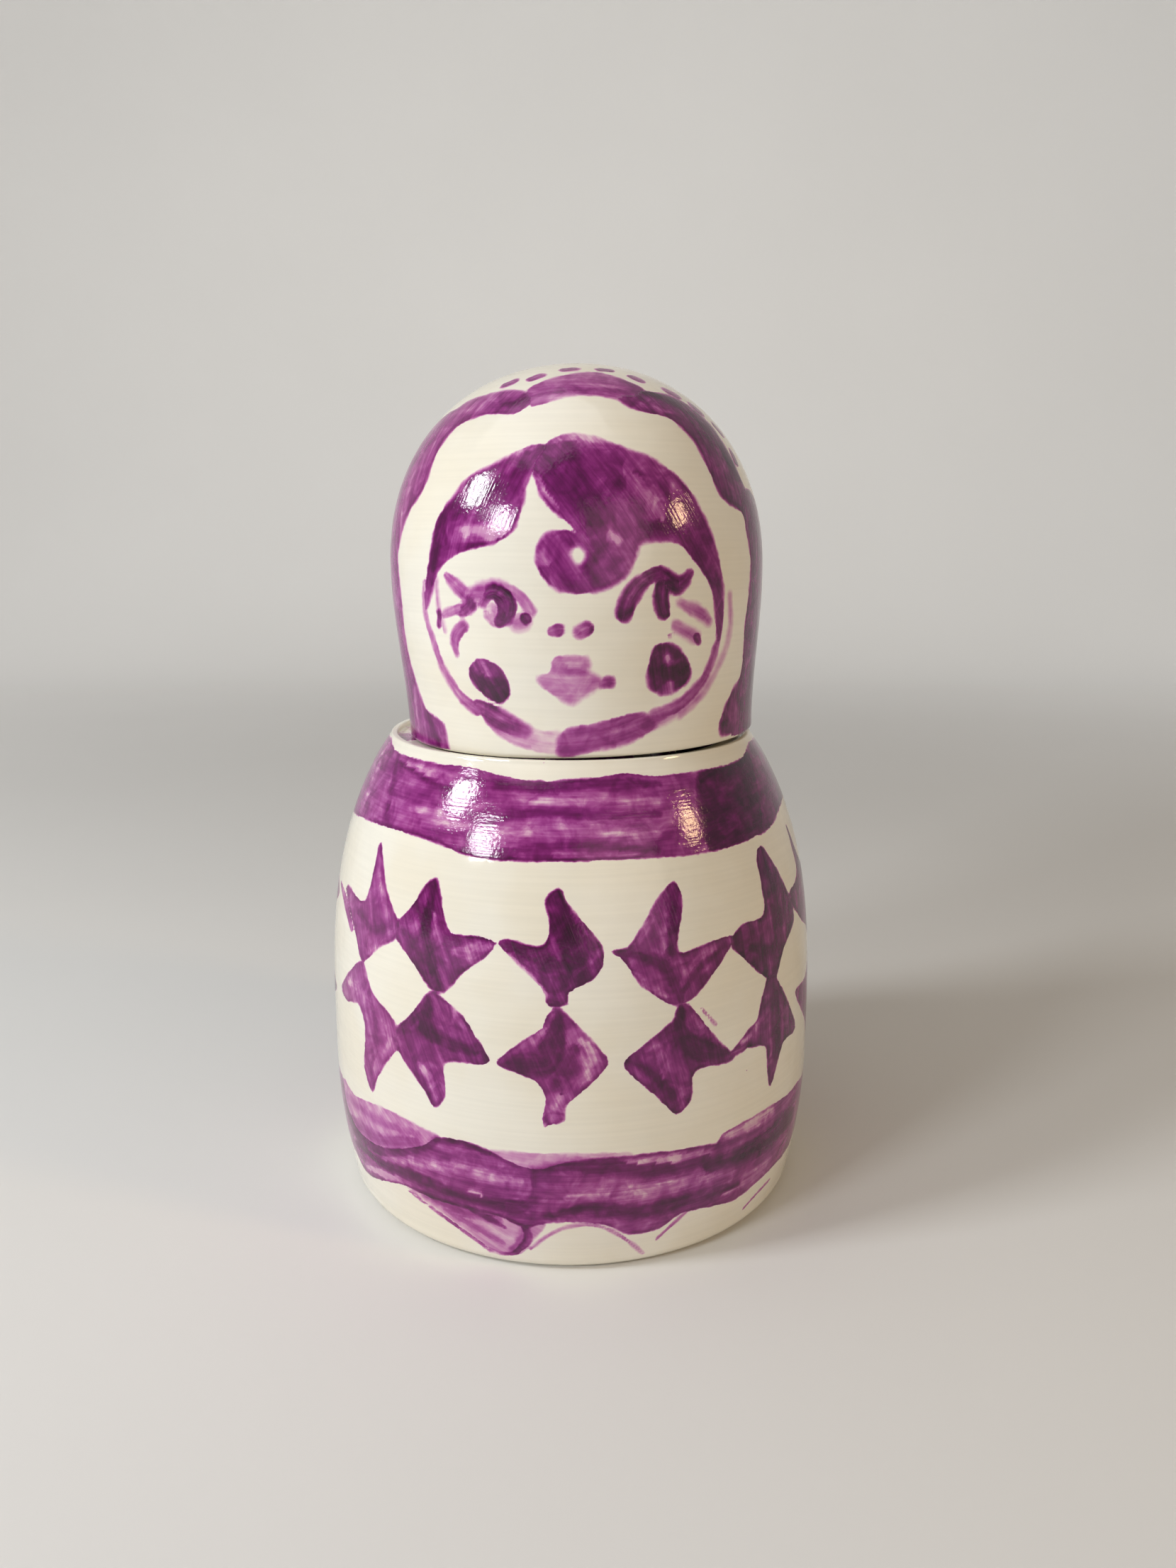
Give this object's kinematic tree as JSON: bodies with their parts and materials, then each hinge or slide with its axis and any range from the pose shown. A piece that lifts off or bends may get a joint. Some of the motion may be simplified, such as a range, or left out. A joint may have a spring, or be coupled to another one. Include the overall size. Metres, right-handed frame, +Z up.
{
  "type": "nesting doll set",
  "caption": "Round-bellied glazed ceramic nesting doll: jar body with a galleried rim, loose dome head as lid, smaller dolls of the same outline nested inside.",
  "frame": {"origin": "centre of the outer doll's foot, on the plane it stands on", "axes": "+Z up along the body's axis, the painted face looks along -Y, +X to the viewer's right"},
  "size_m": [0.0978, 0.0978, 0.1605],
  "materials": {
    "glaze": "glossy cream glaze over hand-brushed purple underglaze"
  },
  "bodies": {
    "outer_body": {"outer_body": "glaze"},
    "outer_head": {"outer_head": "glaze"},
    "second_body": {"second_body": "glaze"},
    "second_head": {"second_head": "glaze"},
    "third_body": {"third_body": "glaze"},
    "third_head": {"third_head": "glaze"},
    "fourth_body": {"fourth_body": "glaze"},
    "fourth_head": {"fourth_head": "glaze"},
    "innermost_doll": {"innermost_doll": "glaze"}
  },
  "joints": [
    {"name": "second_doll_lift", "type": "slide", "parent": "outer_body", "child": "second_body", "axis": [0, 0, 1], "range_m": [0, 0.093]},
    {"name": "third_doll_lift", "type": "slide", "parent": "second_body", "child": "third_body", "axis": [0, 0, 1], "range_m": [0, 0.058]},
    {"name": "fourth_doll_lift", "type": "slide", "parent": "third_body", "child": "fourth_body", "axis": [0, 0, 1], "range_m": [0, 0.036]},
    {"name": "innermost_doll_lift", "type": "slide", "parent": "fourth_body", "child": "innermost_doll", "axis": [0, 0, 1], "range_m": [0, 0.021]},
    {"name": "fourth_head_lift", "type": "slide", "parent": "innermost_doll", "child": "fourth_head", "axis": [0, 0, 1], "range_m": [0, 0.012]},
    {"name": "third_head_lift", "type": "slide", "parent": "fourth_head", "child": "third_head", "axis": [0, 0, 1], "range_m": [0, 0.016]},
    {"name": "second_head_lift", "type": "slide", "parent": "third_head", "child": "second_head", "axis": [0, 0, 1], "range_m": [0, 0.022]},
    {"name": "outer_head_lift", "type": "slide", "parent": "second_head", "child": "outer_head", "axis": [0, 0, 1], "range_m": [0, 0.03]}
  ]
}
